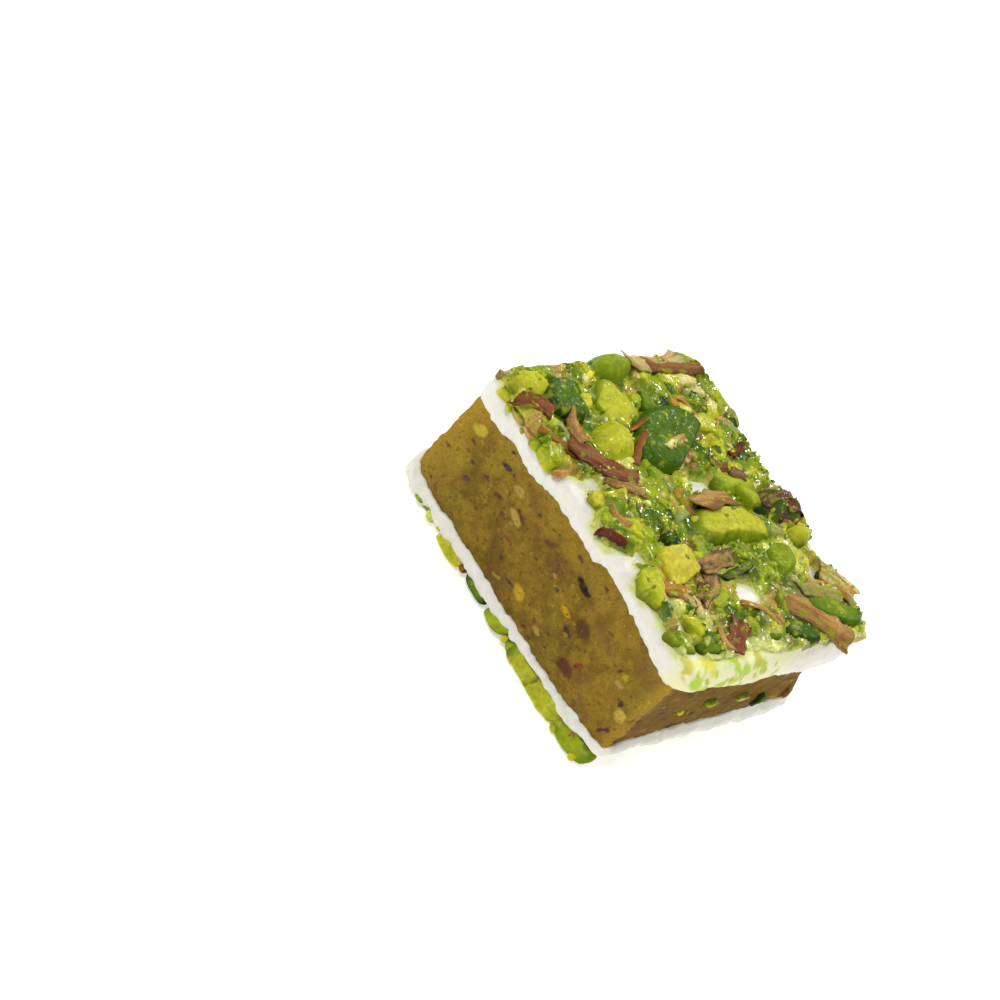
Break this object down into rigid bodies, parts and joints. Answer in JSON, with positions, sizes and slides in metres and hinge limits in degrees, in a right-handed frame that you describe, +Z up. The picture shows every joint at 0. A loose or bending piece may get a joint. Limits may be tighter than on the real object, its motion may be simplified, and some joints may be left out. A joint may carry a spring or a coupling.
{
  "type": "turkish delight",
  "caption": "Layered square sweet: a block of pistachio paste between two layers of white nougat, each pressed with chopped pistachios. It lies flat on a tray or plate.",
  "frame": {"origin": "centre of the bounding box seen from above, at the level on which the lower nuts rest", "axes": "+X along the longer side, +Y along the shorter side from the cut front to the back, +Z up through the layers"},
  "size_m": [0.0434, 0.0384, 0.0219],
  "materials": {
    "paste": "moist, slightly glossy cut face",
    "nougat": "matte whipped nougat with chopped green nuts"
  },
  "bodies": {
    "root": {"pistachio_filling": "paste", "upper_nougat": "nougat", "lower_nougat": "nougat"}
  },
  "joints": []
}
